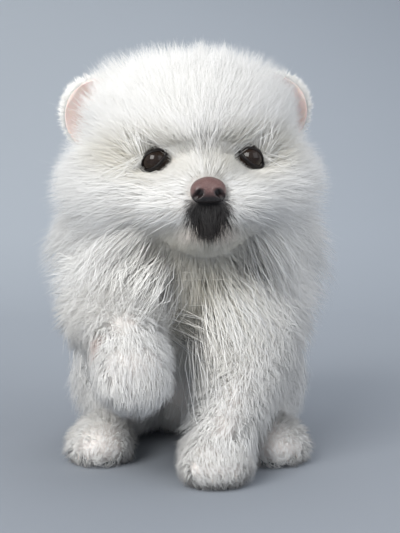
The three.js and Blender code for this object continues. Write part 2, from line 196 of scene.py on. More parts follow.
muzzle = blend(
    5,
    blob(0, -35, -21, 19, 16, 14),
    *both(8, -44, -26.5, 10.5, 9.5, 9.5),
    blob(0, -45, -18.5, 9, 8.5, 7.5),
)
jaw = blend(4, blob(0, -33, -36.5, 16, 15, 8.5), blob(0, -41, -38, 9.5, 8.5, 6.5))
skull = blend(
    8,
    blob(0, 0, 0, 29, 34, 27),
    *both(15, -12, -14, 15, 20, 15),
    *both(18.5, -19, -4, 11, 12, 10),
    blob(0, -22, -14, 15, 16, 13),
)
mouth_line = blend(
    2,
    *[rod((0, -53, -34.5), (side * 9, -50, -35), 1.1, 1.1) for side in (1, -1)],
    *[rod((side * 9, -50, -35), (side * 18, -38, -32), 1.1, 0.7) for side in (1, -1)],
    rod((0, -55, -25), (0, -53, -34.5), 0.8, 1.0),
)
SOCKET_ROOM = 0.4
sockets = both(EYE["side"], EYE["front"], EYE["height"], *(EYE["radius"] + SOCKET_ROOM,) * 3)
head_skin = carve(
    1.2,
    blend(5, skull, swollen(muzzle, -2.2), swollen(jaw, -1.8)),
    mouth_line,
    *sockets,
)
print("the muzzle ends", -NOSE["front"] + NOSE["deep"] / 2, "mm in front of the middle of the head")

# %% [markdown]
# ## The head's coat
# What is seen of the head is mostly hair: a high dome, round cheeks, a brow that hangs over a soft valley
# at the eyes, and puffed pads beside the nose. These fields are where the tips end. In front of the ears
# the crown's hair is carved away, so that their cups show.

# %% Forms of the head's coat
head_coat = aside(COAT_ASIDE, carve(
    6,
    blend(
        14,
        blob(0, 3, 3, 56, 46, 48),
        *both(25, 4, 12, 30, 36, 32),
        *both(34, -4, -21, 33, 34, 26),
        blob(2, -20, 15, 40, 25, 26),
        blob(2, -24, -22, 27, 18, 19),
        blob(0, 20, -8, 44, 34, 44),
    ),
    blob(32, -46, -3, 24, 20, 9.5),
    blob(-24, -46, -3, 24, 20, 9.5),
))
face_coat = blend(
    5,
    carve(5, head_coat, blob(0, -49, 2, 18, 13, 3.5)),
    swollen(muzzle, 1.4),
    swollen(jaw, 4.0),
    *both(18, -40, -26, 19, 13.5, 13),
    blob(0, -39, -9, 16.5, 12, 10),
)
before_ears = [blob(side * 57.5 + COAT_ASIDE, -13, 18, 6.5, 14, 15) for side in SIDES.values()]
crown_coat = carve(5, face_coat, *before_ears)
nose_form = carve(
    1.0,
    blend(
        2,
        blob(0, NOSE["front"], NOSE["height"], NOSE["width"] / 2, NOSE["deep"] / 2, NOSE["tall"] / 2),
        *both(4.1, NOSE["front"] - 0.6, NOSE["height"] - 0.8, 3.5, 4.2, 4.4),
    ),
    *[rod((side * 3.4, NOSE["front"] - 5.6, NOSE["height"] - 0.6),
          (side * 5.2, NOSE["front"] - 2.2, NOSE["height"] - 2.6), 1.5, 1.2) for side in (1, -1)],
)


def in_head(field):
    return lambda p: field(into_head(p))


in_front = face_coat(np.array([[0, -60.0, -9]]))[0]
print("the bridge's hair ends", round(float(in_front), 1), "mm behind y = -60 in the head's frame")


# %% [markdown]
# ## Forms of the body
# A young puppy's body is a few fat eggs: neck, chest, belly and rump, with a rod for each foreleg and an egg
# for each thigh. Each has a form for its skin and a larger one for its coat. The right foreleg is lifted.

# %% Forms of the body
neck_skin = blend(10, blob(0, -34, 112, 27, 28, 30), blob(0, -24, 96, 30, 31, 26))
torso_skin = blend(
    14, blob(0, -20, 82, 32, 34, 38), blob(0, 4, 50, 31, 38, 38), blob(0, 22, 27, 30, 30, 30)
)
neck_coat = blend(
    12, blob(0, -28, 100, 60, 46, 30), *both(38, -27, 94, 36, 36, 29), blob(0, -8, 116, 46, 42, 38)
)
torso_coat = blend(
    14,
    blob(0, -24, 82, 52, 46, 46),
    *both(37, -22, 80, 34, 38, 34),
    blob(0, 10, 62, 54, 52, 52),
    blob(0, 24, 33, 48, 46, 37),
)
FORELEG = {
    "left": {"elbow": (36, -52, 66), "wrist": (15, -84, 19)},
    "right": {"elbow": (-38, -60, 72), "wrist": (-26, -93, 68)},
}
THIGH = (37, -2, 31)
PAWS = {
    "fore_left": {"middle": (12, -90, 9.5), "ahead": (0.1, -1, 0), "size": (12.5, 14, 11.5)},
    "fore_right": {"middle": (-23, -102, 53), "ahead": (0.05, -0.42, -0.9), "size": (14, 13, 14)},
    "hind_left": {"middle": (41, -48, 8.5), "ahead": (0.18, -1, 0), "size": (12.5, 21, 10.5)},
    "hind_right": {"middle": (-41, -48, 8.5), "ahead": (-0.18, -1, 0), "size": (12.5, 21, 10.5)},
}
TOES = {"spread": 5.2, "reach": 11, "outer": 2.6, "radius": 5.2, "drop": 1.5}


def toes_of(paw):
    forward = unit(np.array(paw["ahead"], float))
    across = unit(np.cross((0, 0, 1), forward))
    return [
        np.array(paw["middle"]) + across * i * TOES["spread"] - (0, 0, TOES["drop"])
        + forward * (TOES["reach"] - (TOES["outer"] if abs(i) > 1 else 0))
        for i in (-1.5, -0.5, 0.5, 1.5)
    ]


def paw_form(paw):
    r = TOES["radius"]
    return blend(3, blob(*paw["middle"], *paw["size"]), *[blob(*t, r, r + 1.5, r) for t in toes_of(paw)])


def foreleg(leg, start, end):
    return rod(leg["elbow"], leg["wrist"], start, end)


def thigh(side, grow):
    x, y, z = THIGH
    if grow:
        return blob(side * x, y, z, 25, 42, 34)
    return blob(side * (x - 4), y + 3, z - 3, 14, 30, 24)


tail_coat = blend(6, rod((0, 56, 28), (4, 76, 52), 15, 18), rod((4, 76, 52), (6, 62, 88), 18, 12))
body_coat = blend(
    8,
    neck_coat,
    torso_coat,
    *[foreleg(leg, 25, 17.5) for leg in FORELEG.values()],
    *[thigh(side, True) for side in SIDES.values()],
)
# What the skin is made of: a name, its field, a point inside it and how finely its ball is divided.
FLESH = {
    "head": (in_head(head_skin), out_of_head([(0, -6, -6)])[0], 6),
    "neck": (neck_skin, (0, -28, 104), 5),
    "torso": (torso_skin, (0, 2, 58), 5),
    "tail_low": (rod((0, 54, 28), (4, 74, 52), 6.5, 5), (2, 64, 40), 4),
    "tail_high": (rod((4, 74, 52), (6, 62, 84), 5, 3), (5, 68, 68), 4),
}
for name, side in SIDES.items():
    leg = FORELEG[name]
    middle = (np.array(leg["elbow"]) + leg["wrist"]) / 2
    FLESH[f"thigh_{name}"] = (thigh(side, False), (side * 33, 1, 28), 4)
    FLESH[f"foreleg_{name}"] = (foreleg(leg, 11, 7.5), middle, 4)
    FLESH[f"shoulder_{name}"] = (rod((side * 22, -34, 84), leg["elbow"], 14, 11), (side * 29, -45, 76), 4)
for name, paw in PAWS.items():
    FLESH[f"paw_{name}"] = (swollen(paw_form(paw), -1.2), paw["middle"], 5)
print(len(FLESH), "forms of flesh")


# %% [markdown]
# ## Balls that take the shape of a field
# Every form has a point inside it from which all of its surface can be seen. So a ball around that point
# can be pushed out, vertex by vertex, until it lies on the surface where the field is zero.

# %% A ball pushed out to a field
def reach_to(field, start, ways, farthest=150.0):
    near = np.zeros(len(ways))
    far = np.full(len(ways), 1.5)
    walking = field(start + ways * far[:, None]) < 0
    while walking.any() and far.max() < farthest:
        near[walking] = far[walking]
        far[walking] += 1.5
        ahead = field(start + ways[walking] * far[walking, None]) < 0
        walking[np.flatnonzero(walking)[~ahead]] = False
    for _ in range(11):
        mid = (near + far) / 2
        inside = field(start + ways * mid[:, None]) < 0
        near, far = np.where(inside, mid, near), np.where(inside, far, mid)
    return (near + far) / 2


egg_ends = reach_to(blob(0, 0, 0, 3, 2, 1), np.zeros(3), np.eye(3))
print("the half lengths of an egg of 3, 2 and 1 mm are found as", egg_ends.round(2))


# %% [markdown]
# ## From a ball to a piece
# A piece is a bmesh that is written to a mesh, linked to the scene, given its finish, and set to ride on
# the part's one body. The same few helpers do it for every piece here.

# %% Making a piece
def ball_on(bm, field, middle, fineness, place=metres):
    made = bmesh.ops.create_icosphere(bm, subdivisions=fineness, radius=1.0)["verts"]
    ways = unit(np.array([v.co for v in made]))
    middle = np.array(middle, float)
    points = place(middle + ways * reach_to(field, middle, ways)[:, None])
    for vert, point in zip(made, points):
        vert.co = point
    return made


def finished(name, bm, smooth=True):
    """Turns a bmesh into a piece of the puppy."""
    mesh = bpy.data.meshes.new(name)
    bm.to_mesh(mesh)
    bm.free()
    piece = bpy.data.objects.new(name, mesh)
    bpy.context.scene.collection.objects.link(piece)
    mesh.polygons.foreach_set("use_smooth", [smooth] * len(mesh.polygons))
    return piece


def dressed(piece, material):
    piece.data.materials.clear()
    piece.data.materials.append(material)
    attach(piece, "root")
    return piece


def applied(piece):
    """Applies a piece's modifiers, so that its mesh is what shows."""
    bpy.context.view_layer.update()
    shown = piece.evaluated_get(bpy.context.evaluated_depsgraph_get())
    mesh = bpy.data.meshes.new_from_object(shown)
    piece.modifiers.clear()
    piece.data = mesh
    return piece


trial = bmesh.new()
made = ball_on(trial, blob(0, 0, 0, 30, 20, 10), (0, 0, 0), 4)
print("a ball of fineness 4 has", len(made), "points and", len(trial.faces), "triangles")
trial.free()

# %% [markdown]
# ## One skin
# The balls overlap where the flesh does. A voxel remesh melts them into one closed skin about a millimetre
# fine, and a little smoothing takes away its steps. It could also be sculpted by hand, but then the coat
# would not know how deep it is.

# %% Skin
SKIN_FINENESS = 0.0011
OFF_FLOOR = 0.0004

bm = bmesh.new()
for field, middle, fineness in FLESH.values():
    ball_on(bm, field, middle, fineness)
skin = finished("skin", bm)
remesh = skin.modifiers.new("melt", "REMESH")
remesh.mode = "VOXEL"
remesh.voxel_size = SKIN_FINENESS
remesh.use_smooth_shade = True
applied(skin)
bm = bmesh.new()
bm.from_mesh(skin.data)
bmesh.ops.triangulate(bm, faces=bm.faces)
for _ in range(2):
    bmesh.ops.smooth_vert(bm, verts=bm.verts, factor=0.5, use_axis_x=True, use_axis_y=True, use_axis_z=True)
for v in bm.verts:
    v.co.z = max(v.co.z, OFF_FLOOR)
bm.to_mesh(skin.data)
bm.free()
skin.data.polygons.foreach_set("use_smooth", [True] * len(skin.data.polygons))
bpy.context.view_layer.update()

# %% [markdown]
# ## The skin laid flat
# The tufts keep their colours on a map, and each has to lie where its root is on the skin. So the skin is
# unwrapped once by its own shape, and every tuft takes its place from there.

# %% Unwrap
bpy.context.view_layer.objects.active = skin
for other in bpy.context.scene.objects:
    other.select_set(other == skin)
bpy.ops.object.mode_set(mode="EDIT")
bpy.ops.mesh.select_all(action="SELECT")
bpy.ops.uv.smart_project(angle_limit=math.radians(66), island_margin=0.002)
bpy.ops.object.mode_set(mode="OBJECT")
mesh = skin.data
corners = np.empty(len(mesh.loops) * 2)
mesh.uv_layers.active.data.foreach_get("uv", corners)
corners = corners.reshape(-1, 3, 2)
spots = np.empty(len(mesh.vertices) * 3)
mesh.vertices.foreach_get("co", spots)
spots = spots.reshape(-1, 3) * 1000 + (0, SEAT, 0)
tris = np.empty(len(mesh.loops), int)
mesh.loops.foreach_get("vertex_index", tris)
tris = tris.reshape(-1, 3)
print("laid flat:", corners.min(), "to", corners.max())

# %% [markdown]
# ## Where each kind of coat grows
# A Pomeranian puppy's hair is shortest on the muzzle, feet and ears, velvety on the forehead, and long and
# standing on the cheeks, ruff, breeches and tail. Each triangle of the skin is given to the coat that
# grows there, by the form it belongs to and its place in the head. A painted weight map would do the same,
# but would have to be painted again whenever a form moves.

# %% Regions of the skin
centres = spots[tris].mean(axis=1)
crossed = np.cross(spots[tris[:, 1]] - spots[tris[:, 0]], spots[tris[:, 2]] - spots[tris[:, 0]])
areas = np.linalg.norm(crossed, axis=1) / 2
facing = unit(crossed)
names = list(FLESH)
nearest = np.argmin(np.stack([np.abs(FLESH[n][0](centres)) for n in names]), axis=0)
parts = [n[:8] if n.startswith("paw") else n.split("_")[0] for n in names]
owner = np.array(parts)[nearest]
side_of = np.where(centres[:, 0] > 0, "left", "right")
here = into_head(centres)
in_mouth = mouth_line(here) < 0.6
eye_centres = [(side * EYE["side"], EYE["front"], EYE["height"]) for side in (1, -1)]
near_eye = np.min([np.linalg.norm(here - centre, axis=1) for centre in eye_centres], axis=0)
on_muzzle = (np.minimum(muzzle(here), jaw(here)) < -0.6) & (here[:, 1] < -26)
in_socket = near_eye < EYE["radius"] + SOCKET_ROOM / 2
bare = (owner == "head") & (in_mouth | in_socket | (nose_form(here) < 0.5))
soles = (centres[:, 2] < 2.5) & (facing[:, 2] < -0.3)

region = np.full(len(tris), "none", dtype="U16")
head = owner == "head"
above_eyes = here[:, 2] > -3
region[head] = "nape"
region[head & above_eyes] = "crown"
region[head & ~above_eyes & (here[:, 1] < 12)] = "cheek"
region[head & above_eyes & (here[:, 1] < -14)] = "brow"
region[head & on_muzzle] = "muzzle"
cheek = region == "cheek"
region[cheek] = np.char.add("cheek_", side_of[cheek])
region[owner == "neck"] = "ruff"
region[(owner == "torso") | (owner == "shoulder")] = "back"
chest = ((owner == "torso") | (owner == "shoulder")) & (facing[:, 1] < -0.1)
region[chest] = "chest"
for name in ("thigh", "foreleg"):
    mine = owner == name
    region[mine] = np.char.add(name + "_", side_of[mine])
region[owner == "tail"] = "tail"
region[owner == "paw_fore"] = np.char.add("paw_fore_", side_of[owner == "paw_fore"])
region[owner == "paw_hind"] = "paws_hind"
region[bare | soles] = "none"
for name in sorted(set(region)):
    print(name, round(float(areas[region == name].sum())), "mm2")


# %% [markdown]
# ## Markings and painted shade
# The puppy is white, but not all alike: cream deep between brow and cheek and under the chin, beige on the
# chest, and near-black on the short hair around the lips. The cream and the beige are partly the coat's own
# tint and partly painted shade, under the overhanging brow and under the head. The same sums give the
# markings and the painted shade of skin and coat, so the two never part. Dark and white hairs mix at the
# edge, as each tuft takes its own draw.

# %% Markings and painted shade
def inside(p, x, y, z, rx, ry, rz, soft=0.35):
    """One within an egg-shaped patch, falling to nothing beyond its edge."""
    far = np.linalg.norm((p - (x, y, z)) / (rx, ry, rz), axis=1)
    return np.clip((1 + soft - far) / (2 * soft), 0, 1)


def dark_mark(p):
    q = into_head(p)
    lips = np.maximum(inside(q, 0, -54, -29.5, 9.8, 10, 9.5, 0.3), inside(q, 0, -56, -29, 7.5, 9, 8.5, 0.15))
    rim = inside(q, 0.6, -52, -20, 8.6, 8, 7.2, 0.15) * 0.7
    line = np.clip(1.5 - mouth_line(q) / 1.2, 0, 1) * 0.5 * inside(q, 0, -52, -31, 15, 14, 6, 0.4)
    return np.maximum.reduce([lips, rim, line])


# Partly a cream tint of the coat and partly painted shade: in the valley under the brow, under the chin and
# on the chest under the head.
def cream_and_painted_shade_mark(p):
    q = into_head(p)
    left = inside(q, 30 + COAT_ASIDE, -36, 0, 24, 22, 11, 0.6)
    right = inside(q, -30 + COAT_ASIDE, -36, 0, 24, 22, 11, 0.6)
    smile = inside(q, 0, -36, -44, 30, 20, 8, 0.6)
    chest = inside(p, 6, -56, 84, 28, 32, 38, 0.7)
    return np.maximum.reduce([left, right, smile, chest])


def pink_mark(p):
    q = into_head(p)
    chin = inside(q, 0, -46, -36, 10, 9, 4, 0.5)
    wrist = inside(p, -38, -98, 62, 3.5, 5, 3.5, 0.5)
    return np.maximum(chin * 0.35, wrist)


def write_marks(mesh, values):
    for name, numbers in values.items():
        layer = mesh.attributes.new(name, "FLOAT", "POINT")
        layer.data.foreach_set("value", np.asarray(numbers, np.float32))


print("the dark mark covers", round(float(areas[dark_mark(centres) > 0.5].sum())), "mm2 of skin")


# %% [markdown]
# ## Shader helpers
# A few helpers keep the materials short. Two effects are needed in several materials, so each is a node
# group with named inputs and outputs: a fine grain in Object coordinates, and the puppy's markings with
# their painted shade.

# %% Shader helpers
def node_of(tree, kind, **settings):
    node = tree.nodes.new(kind)
    for key, value in settings.items():
        setattr(node, key, value)
    return node


def new_material(name):
    material = bpy.data.materials.new(name)
    material.use_nodes = True
    return material, material.node_tree, material.node_tree.nodes["Principled BSDF"]


def attribute(tree, name):
    return node_of(tree, "ShaderNodeAttribute", attribute_name=name).outputs["Fac"]


def mixed(tree, factor, first, second, kind="MIX"):
    """A mix of two colours, each a value or a socket."""
    mix = node_of(tree, "ShaderNodeMix", data_type="RGBA", blend_type=kind)
    for socket, value in zip((mix.inputs[0], mix.inputs[6], mix.inputs[7]), (factor, first, second)):
        if isinstance(value, bpy.types.NodeSocket):
            tree.links.new(value, socket)
        else:
            socket.default_value = value if isinstance(value, (int, float)) else (*value, 1)
    return mix.outputs[2]


def new_group(name, inputs, outputs):
    """An empty node group with named sockets, and its two ends."""
    group = bpy.data.node_groups.new(name, "ShaderNodeTree")
    for sockets_of, way in ((inputs, "INPUT"), (outputs, "OUTPUT")):
        for label, kind in sockets_of.items():
            group.interface.new_socket(label, in_out=way, socket_type="NodeSocket" + kind)
    return group, node_of(group, "NodeGroupInput"), node_of(group, "NodeGroupOutput")


def placed(tree, group, **values):
    """Places a node group in a material. Each value is a number, a colour or a socket."""
    node = node_of(tree, "ShaderNodeGroup", node_tree=group)
    for label, value in values.items():
        if isinstance(value, bpy.types.NodeSocket):
            tree.links.new(value, node.inputs[label])
        else:
            node.inputs[label].default_value = (*value, 1) if isinstance(value, tuple) else value
    return node.outputs


def set_up(shader, **values):
    for label, value in values.items():
        shader.inputs[label.replace("_", " ")].default_value = value


# %% [markdown]
# ## Grain, markings and painted shade
# Skin, ear and claw are never one flat colour: a fine noise mixes a darker and a lighter tone. The markings
# and the painted shade lie over whatever colour they are given, in the order cream with painted shade, pink,
# dark. Built once as groups, they can't differ from one material to the next.

# %% Shared effects
grain, start, end = new_group(
    "fine grain",
    {"Scale": "Float", "Low": "Color", "High": "Color"},
    {"Colour": "Color", "Height": "Float"},
)
where = node_of(grain, "ShaderNodeTexCoord")
noise = node_of(grain, "ShaderNodeTexNoise")
grain.links.new(where.outputs["Object"], noise.inputs["Vector"])
grain.links.new(start.outputs["Scale"], noise.inputs["Scale"])
speckle = mixed(grain, noise.outputs["Fac"], start.outputs["Low"], start.outputs["High"])
grain.links.new(speckle, end.inputs["Colour"])
grain.links.new(noise.outputs["Fac"], end.inputs["Height"])

# The cream tint is partly the coat's own and partly painted shade; pink and dark are the puppy's own
# colours.
MARK_AND_PAINTED_SHADE_TINTS = {"cream": (0.60, 0.56, 0.455), "pink": (0.80, 0.60, 0.55), "dark": (0.012, 0.010, 0.011)}
markings_and_painted_shade, start, end = new_group("puppy markings", {"Base": "Color"}, {"Colour": "Color"})
colour = start.outputs["Base"]
for name, tint in MARK_AND_PAINTED_SHADE_TINTS.items():
    colour = mixed(markings_and_painted_shade, attribute(markings_and_painted_shade, name), colour, tint)
markings_and_painted_shade.links.new(colour, end.inputs["Colour"])
print("node groups:", [group.name for group in bpy.data.node_groups])

# %% [markdown]
# ## Coat and skin finishes
# Each hair is white, with painted shade at its root, where it is a little deeper in colour, and it is
# brighter or duller as its tuft has drawn.
# Under it the skin is pale and rosy with a fine bump. A principled hair shader needs real hair curves,
# while these tufts are solid, so both use the same plain shader with a little sheen on the hair.

# %% Coat and skin finishes
# The second of these colours is painted shade, for the depth of the coat at each hair's root.
WHITE, ROOT_PAINTED_SHADE, BRIGHT = (0.93, 0.925, 0.905), (0.88, 0.86, 0.80), (0.97, 0.965, 0.96)

fur, tree, shader = new_material("white_puppy_coat")
painted_root_shade = mixed(tree, attribute(tree, "along"), ROOT_PAINTED_SHADE, WHITE)
toned = mixed(tree, attribute(tree, "tone"), painted_root_shade, BRIGHT)
tree.links.new(placed(tree, markings_and_painted_shade, Base=toned)["Colour"], shader.inputs["Base Color"])
set_up(shader, Roughness=0.6, Specular_IOR_Level=0.15, Sheen_Weight=0.08, Sheen_Roughness=0.4)

hide, tree, shader = new_material("puppy_skin")
rosy = placed(tree, grain, Scale=900.0, Low=(0.84, 0.77, 0.73), High=(0.90, 0.85, 0.82))
bump = node_of(tree, "ShaderNodeBump")
set_up(bump, Strength=0.25, Distance=0.0004)
tree.links.new(rosy["Height"], bump.inputs["Height"])
tree.links.new(bump.outputs["Normal"], shader.inputs["Normal"])
tree.links.new(placed(tree, markings_and_painted_shade, Base=rosy["Colour"])["Colour"], shader.inputs["Base Color"])
set_up(shader, Roughness=0.6)
# The skin takes the same marks and the same painted shade as the coat.
write_marks(skin.data, {"cream": cream_and_painted_shade_mark(spots), "pink": pink_mark(spots), "dark": dark_mark(spots)})
dressed(skin, hide)
REPLACED = ["head", "muzzle", "jaw", "neck", "torso", "tail"]
REPLACED += [f"{part}_{side}" for part in ("thigh", "foreleg", "paw_fore", "paw_hind") for side in SIDES]
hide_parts(*REPLACED)
print("the skin replaces", len(REPLACED), "solids")


# %% [markdown]
# ## Eyes
# A puppy's eye is nearly black, with a wet bulging cornea that catches the window. Each is one smooth ball
# with a slight bulge in front, in place of the faceted one, under an almond of dark lids.

# %% Eyes
CORNEA = {"radius": 4.6, "ahead": 2.4}

eye_finish, tree, shader = new_material("wet_dark_eye")
iris = placed(tree, grain, Scale=400.0, Low=(0.010, 0.006, 0.004), High=(0.022, 0.012, 0.008))
tree.links.new(iris["Colour"], shader.inputs["Base Color"])
set_up(shader, Roughness=0.06, Specular_IOR_Level=0.25, Coat_Weight=0.2, Coat_Roughness=0.02)


def head_place(points):
    return metres(out_of_head(points))


def eye_middle(side):
    return np.array((side * EYE["side"], EYE["front"], EYE["height"]))


def gaze_of(side, toe_out=EYE["toe_out"]):
    """Where an eye looks, and the direction across it, which points to the puppy's left."""
    toe = math.radians(side * toe_out)
    return np.array((math.sin(toe), -math.cos(toe), 0)), np.array((math.cos(toe), math.sin(toe), 0))


for name, side in SIDES.items():
    bm = bmesh.new()
    middle = eye_middle(side)
    bulge = middle + gaze_of(side)[0] * CORNEA["ahead"]
    cornea = blend(1.5, blob(*middle, *(EYE["radius"],) * 3), blob(*bulge, *(CORNEA["radius"],) * 3))
    ball_on(bm, cornea, middle, 5, head_place)
    eye = finished(f"wet_eye_{name}", bm)
    dressed(eye, eye_finish)
    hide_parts(f"eye_{name}")
    print("eye", name, "at", middle, len(eye.data.polygons), "triangles")

# %% [markdown]
# ## Lids
# The rims of both lids are hairless and black, and close to an almond whose outer end is lower. A circle is
# spun into a ring, and the ring is pressed into the almond and laid on the eyeball. A curve with a bevel
# would give the same ring, but couldn't be laid on a ball as simply.

# %% Lids
LID = {"half_long": 7.0, "half_tall": 3.5, "ring": 6.0, "press": 0.75, "flat": 0.8, "on_eye": 0.3}

lid_finish, tree, shader = new_material("dark_lid")
set_up(shader, Base_Color=(0.010, 0.008, 0.008, 1), Specular_IOR_Level=0.3)
shine = placed(tree, grain, Scale=1500.0)["Height"]
tree.links.new(shine, shader.inputs["Roughness"])
for name, side in SIDES.items():
    bm = bmesh.new()
    circle = bmesh.ops.create_circle(bm, segments=12, radius=1.0)["verts"]
    bmesh.ops.rotate(bm, verts=circle, matrix=Matrix.Rotation(math.pi / 2, 3, "X"))
    bmesh.ops.translate(bm, verts=circle, vec=(LID["ring"], 0, 0))
    bmesh.ops.spin(bm, geom=bm.verts[:] + bm.edges[:], cent=(0, 0, 0), axis=(0, 0, 1), steps=48,
                   angle=math.tau, use_merge=True)
    bmesh.ops.recalc_face_normals(bm, faces=bm.faces)
    points = np.array([v.co for v in bm.verts])
    around = np.arctan2(points[:, 1], points[:, 0])
    off = LID["press"] * (np.hypot(points[:, 0], points[:, 1]) - LID["ring"])
    slant = np.sin(around)
    x = np.cos(around) * (LID["half_long"] + off)
    z = slant * (0.45 + 0.55 * np.abs(slant)) * (LID["half_tall"] + off)
    deep = np.sqrt(np.maximum(9, (EYE["radius"] + LID["on_eye"]) ** 2 - x * x - z * z))
    ring = np.stack([x, -deep - LID["flat"] * points[:, 2], z], axis=1)
    tilt = np.array(Matrix.Rotation(math.radians(side * EYE["toe_out"]), 3, "Z")
                    @ Matrix.Rotation(math.radians(side * EYE["tilt"]), 3, "Y"))
    ring = head_place(ring @ tilt.T + eye_middle(side))
    for vert, point in zip(bm.verts, ring):
        vert.co = point
    lid = finished(f"lids_{name}", bm)
    dressed(lid, lid_finish)
    print("lids", name, len(lid.data.polygons), "faces")

# %% [markdown]
# ## Nose
# The leather of a young dog's nose is still pinkish brown, pebbled and moist, with dark nostrils. It is a
# ball on the nose's form, whose nostrils are carved in, and the pebbles are a bump of small cells.

# %% Nose
NOSTRIL = {"side": 4.1, "front": -57.2, "below": 1.3, "size": (2.4, 4, 2.2)}

leather, tree, shader = new_material("puppy_nose_leather")
where = node_of(tree, "ShaderNodeTexCoord")
cells = node_of(tree, "ShaderNodeTexVoronoi")
cells.inputs["Scale"].default_value = 1900
tree.links.new(where.outputs["Object"], cells.inputs["Vector"])
bump = node_of(tree, "ShaderNodeBump", invert=True)
set_up(bump, Strength=0.5, Distance=0.0003)
tree.links.new(cells.outputs["Distance"], bump.inputs["Height"])
tree.links.new(bump.outputs["Normal"], shader.inputs["Normal"])
pigment = attribute(tree, "dark")
cell_tone = mixed(tree, cells.outputs["Distance"], (0.17, 0.085, 0.078), (0.09, 0.045, 0.042))
tree.links.new(mixed(tree, pigment, cell_tone, (0.012, 0.009, 0.009)), shader.inputs["Base Color"])
set_up(shader, Roughness=0.38, Coat_Weight=0.3, Coat_Roughness=0.25)
bm = bmesh.new()
ball_on(bm, nose_form, (0, NOSE["front"] + 1.5, NOSE["height"]), 6, head_place)
nose = finished("nose_leather", bm)
at = np.array([v.co for v in nose.data.vertices]) * 1000 + (0, SEAT, 0)
q = into_head(at)
nostrils = [
    inside(q, side * NOSTRIL["side"], NOSTRIL["front"], NOSE["height"] - NOSTRIL["below"], *NOSTRIL["size"])
    for side in (1, -1)
]
under = np.clip((NOSE["height"] - 0.2 - q[:, 2]) / 3.0, 0, 1)
edge = np.clip((q[:, 1] + 54.5) / 2.5, 0, 1) * 0.8
write_marks(nose.data, {"dark": np.maximum.reduce([*nostrils, under, edge])})
dressed(nose, leather)
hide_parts("nose")
print("the nose has", len(nose.data.polygons), "triangles")

# %% [markdown]
# ## Ears
# A puppy's ear is a thin cupped leaf, pink inside and pale behind. A grid is bent into the leaf, then
# Solidify gives it its thickness. A sculpted ear could have more folds, but the coat hides most of it.

# %% The shape of an ear
def ear_points(side, u, v):
    """Points of the leaf: u runs from its root to its tip, v from edge to edge."""
    ends = (EAR["root"], EAR["tip"])
    root, tip = (np.array((side * x + COAT_ASIDE, y, z), float) for x, y, z in ends)
    along = tip - root
    front = unit(np.array((side * 0.35, -1, 0.05)))
    across = unit(np.cross(along, front))
    face = unit(np.cross(across, along))
    widest = 0.52
    wide = np.where(
        u < widest,
        0.62 + 0.38 * np.sin(np.minimum(u / widest, 1) * math.pi / 2),
        np.sqrt(np.maximum(0.02, 1 - (np.maximum(u - widest, 0) / (1 - widest)) ** 2.2)),
    )
    width = EAR["width"] / 2 * wide
    deep = EAR["cup"] * (1 - v * v) * np.sin(math.pi * np.minimum(1, 0.25 + 0.75 * u))
    leaf = root + along * u[:, None] + across * (v * width)[:, None] - face * deep[:, None]
    return leaf, face, across, unit(along)


middle_of_leaf = ear_points(1, np.array([0.5]), np.array([0.0]))[0]
print("the middle of the left ear is at", middle_of_leaf.round(1), "in the head's frame")

# %% [markdown]
# ## The two ears
# Light shines through an ear's edge, so its skin scatters a little light under the surface. Its back is
# told from its front by the way the surface faces.

# %% Ears
PALE_SKIN = (0.86, 0.83, 0.80)

ear_finish, tree, shader = new_material("thin_pink_ear")
flush = placed(tree, grain, Scale=220.0, Low=(0.82, 0.62, 0.57), High=(0.88, 0.74, 0.69))["Colour"]
pale_back = mixed(tree, attribute(tree, "back"), flush, PALE_SKIN)
tree.links.new(pale_back, shader.inputs["Base Color"])
set_up(shader, Roughness=0.55, Subsurface_Weight=0.2, Subsurface_Scale=0.003)
for name, side in SIDES.items():
    bm = bmesh.new()
    grid = bmesh.ops.create_grid(bm, x_segments=28, y_segments=28, size=1.0)["verts"]
    flat = np.array([v.co for v in grid])
    leaf, cup_way, *_ = ear_points(side, (flat[:, 1] + 1) / 2, flat[:, 0])
    for vert, point in zip(grid, head_place(leaf)):
        vert.co = point
    ear = finished(f"ear_leaf_{name}", bm)
    wall = ear.modifiers.new("thickness", "SOLIDIFY")
    wall.thickness = EAR["thick"] / 1000
    wall.offset = 0
    applied(ear)
    bm = bmesh.new()
    bm.from_mesh(ear.data)
    bmesh.ops.recalc_face_normals(bm, faces=bm.faces)
    bm.to_mesh(ear.data)
    bm.free()
    ear.data.polygons.foreach_set("use_smooth", [True] * len(ear.data.polygons))
    turned = np.array([v.normal for v in ear.data.vertices]) @ (cup_way @ TURN.T)
    write_marks(ear.data, {"back": np.clip(0.5 - 1.5 * turned, 0, 1)})
    dressed(ear, ear_finish)
    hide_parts(f"ear_{name}")
    print("ear", name, len(ear.data.polygons), "faces")

# %% [markdown]
# ## Claws
# The claws keep their own solids, which have the right place and curve, and get a horn finish: pale and a
# little pink, with a fine grain. Long hair hides all but their ends.

# %% Claws
horn, tree, shader = new_material("pale_horn_claw")
streaks = placed(tree, grain, Scale=1200.0, Low=(0.80, 0.62, 0.55), High=(0.88, 0.77, 0.70))
tree.links.new(streaks["Colour"], shader.inputs["Base Color"])
set_up(shader, Roughness=0.35)
claws = [node for name, node in frame["nodes"].items() if name.startswith("claw")]
for claw in claws:
    for slot in claw.material_slots:
        slot.material = horn
print(len(claws), "claws")


# %% [markdown]
# ## Tufts
# Every tuft that shows is a thin closed spindle: a root point in the skin, one or two rings of three points,
# and a tip, so 6 or 12 triangles. It leaves the skin along the skin's own direction, then turns to follow
# the lie of the coat, and it is just long enough for its tip to reach the coat's outline. Blender's own
# hair would be quicker to comb, but it isn't solid.

# %% How one tuft bends
STEPS = {1: np.array([0, 0.5, 1.0]), 2: np.array([0, 0.38, 0.74, 1.0])}
PATCH_HALF = 0.0015
ACROSS = np.array([-0.8, 0.0, 0.8])


def rise_of(s):
    return s * (1.55 - 0.55 * s)


def drift_of(s):
    return s * (0.35 + 0.65 * s)


